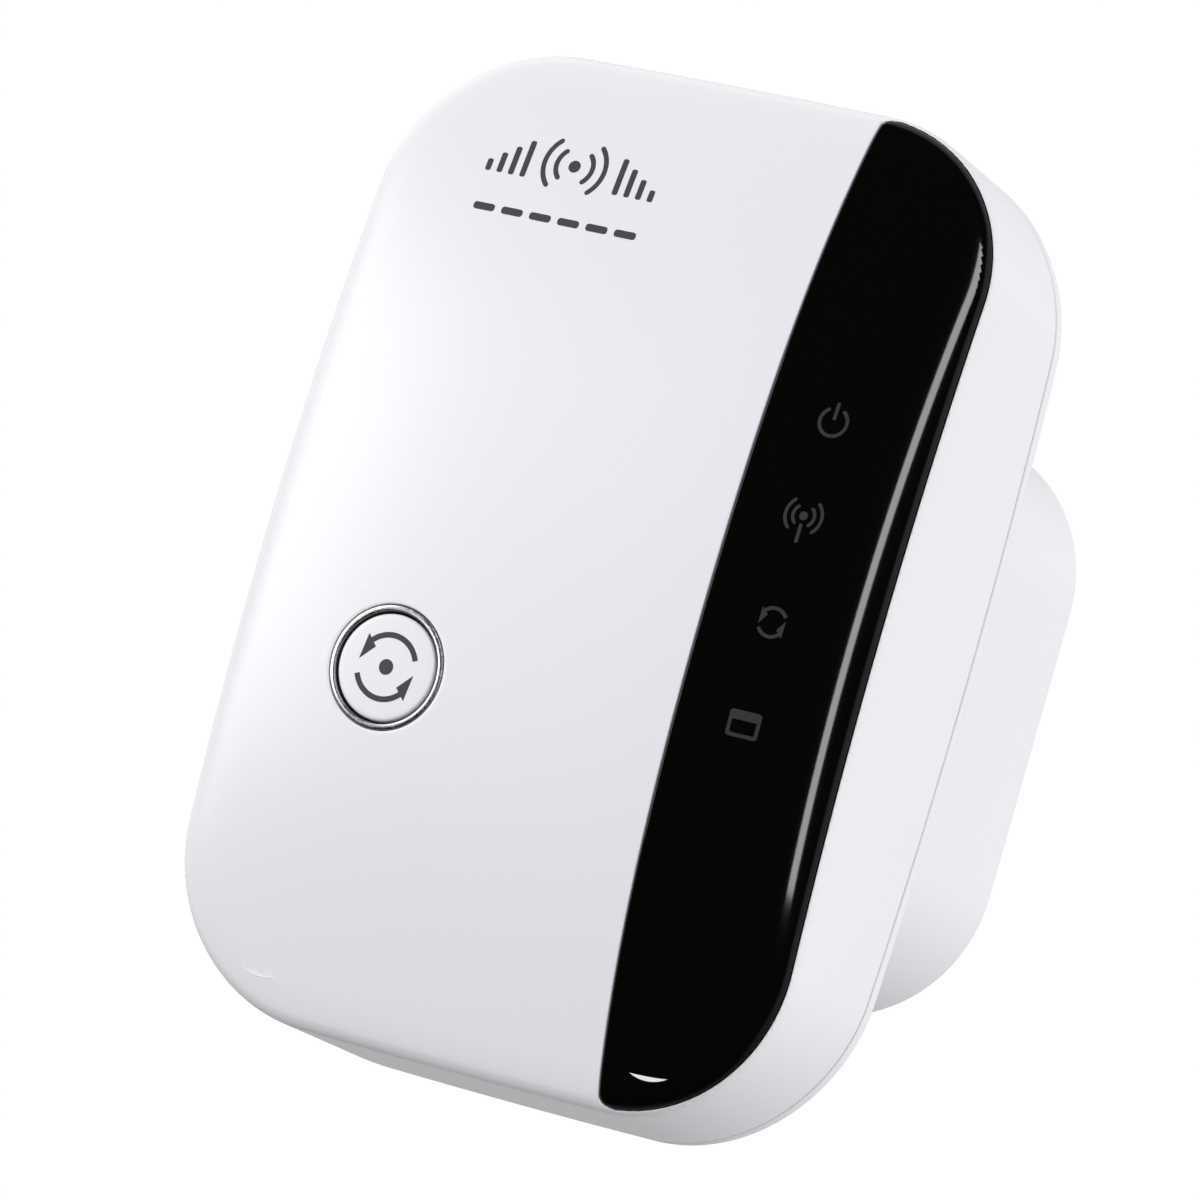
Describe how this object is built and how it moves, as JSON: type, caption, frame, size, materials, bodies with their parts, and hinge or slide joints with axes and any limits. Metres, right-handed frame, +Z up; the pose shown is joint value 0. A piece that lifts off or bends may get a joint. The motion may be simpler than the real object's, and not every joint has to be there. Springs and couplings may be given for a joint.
{
  "type": "wireless range extender",
  "caption": "Wall-plug wireless range extender: domed white housing with a dark indicator strip, a ringed round push button, a network socket in the left side and flat mains blades behind.",
  "frame": {"origin": "middle of the plug face, on the face between the two blades", "axes": "+Y out of the plug face into the wall, so the front looks along -Y; +Z up; +X to the right seen from the front"},
  "size_m": [0.066, 0.0626, 0.098],
  "materials": {
    "white_shell": "smooth moulded gloss",
    "black_lens": "polished acrylic",
    "ring_trim": "plated",
    "black_plastic": "moulded, fine texture",
    "brass": "bright",
    "steel": "tin plated",
    "board_green": "solder mask",
    "board_tan": "bare laminate",
    "heat_pad": "soft pad",
    "ferrite": "sintered",
    "can_aluminium": "bare can",
    "can_sleeve": "shrunk sleeve",
    "coil_tape": "polyester tape",
    "lamp_resin": "cast resin",
    "clear_guide": "clear moulding",
    "disc_blue": "dipped epoxy",
    "fuse_body": "cement coating"
  },
  "bodies": {
    "housing": {"front_shell": "white_shell", "rear_shell": "white_shell", "indicator_strip": "black_lens", "button_ring": "ring_trim", "plug_insert": "white_shell", "blade_left": "brass", "blade_right": "brass", "housing_screw_1": "steel", "housing_screw_2": "steel", "housing_screw_3": "steel", "housing_screw_4": "steel", "main_board": "board_green", "main_chip": "black_plastic", "chip_heat_pad": "heat_pad", "shield_can": "steel", "memory_chip": "black_plastic", "crystal": "steel", "lan_transformer": "black_plastic", "board_inductor": "ferrite", "board_capacitor": "can_aluminium", "antenna_left": "steel", "antenna_right": "steel", "jack_housing": "black_plastic", "jack_contact_1": "brass", "jack_contact_2": "brass", "jack_contact_3": "brass", "jack_contact_4": "brass", "jack_contact_5": "brass", "jack_contact_6": "brass", "jack_contact_7": "brass", "jack_contact_8": "brass", "pair_switch_body": "steel", "reset_switch_body": "black_plastic", "led_power": "lamp_resin", "led_signal": "lamp_resin", "led_sync": "lamp_resin", "led_port": "lamp_resin", "light_baffle": "black_plastic", "light_guide": "clear_guide", "power_board": "board_tan", "transformer_core": "ferrite", "transformer_coil": "coil_tape", "bulk_capacitor_1": "can_sleeve", "bulk_capacitor_2": "can_sleeve", "bridge_rectifier": "black_plastic", "fuse": "fuse_body", "safety_capacitor": "disc_blue", "controller_chip": "black_plastic", "output_capacitor": "can_sleeve", "output_choke": "ferrite", "blade_contact_left": "brass", "blade_contact_right": "brass", "link_header": "black_plastic", "link_pin_positive": "brass", "link_pin_negative": "brass"},
    "pair_button": {"pair_button": "white_shell"},
    "pair_switch_stem": {"pair_switch_stem": "black_plastic"},
    "reset_button": {"reset_button": "black_plastic"},
    "reset_switch_stem": {"reset_switch_stem": "black_plastic"}
  },
  "joints": [
    {"name": "pair_press", "type": "slide", "parent": "housing", "child": "pair_button", "axis": [0, 1, 0], "range_m": [0, 0.0005], "stiffness_N_per_m": 2500},
    {"name": "pair_stem_press", "type": "slide", "parent": "housing", "child": "pair_switch_stem", "axis": [0, 1, 0], "range_m": [0, 0.0003]},
    {"name": "reset_press", "type": "slide", "parent": "housing", "child": "reset_button", "axis": [1, 0, 0], "range_m": [0, 0.0005], "stiffness_N_per_m": 2500},
    {"name": "reset_stem_press", "type": "slide", "parent": "housing", "child": "reset_switch_stem", "axis": [1, 0, 0], "range_m": [0, 0.0003]}
  ],
  "couplings": [
    {"joint": "pair_stem_press", "follows": "pair_press", "ratio": 0.6},
    {"joint": "reset_stem_press", "follows": "reset_press", "ratio": 0.6}
  ]
}
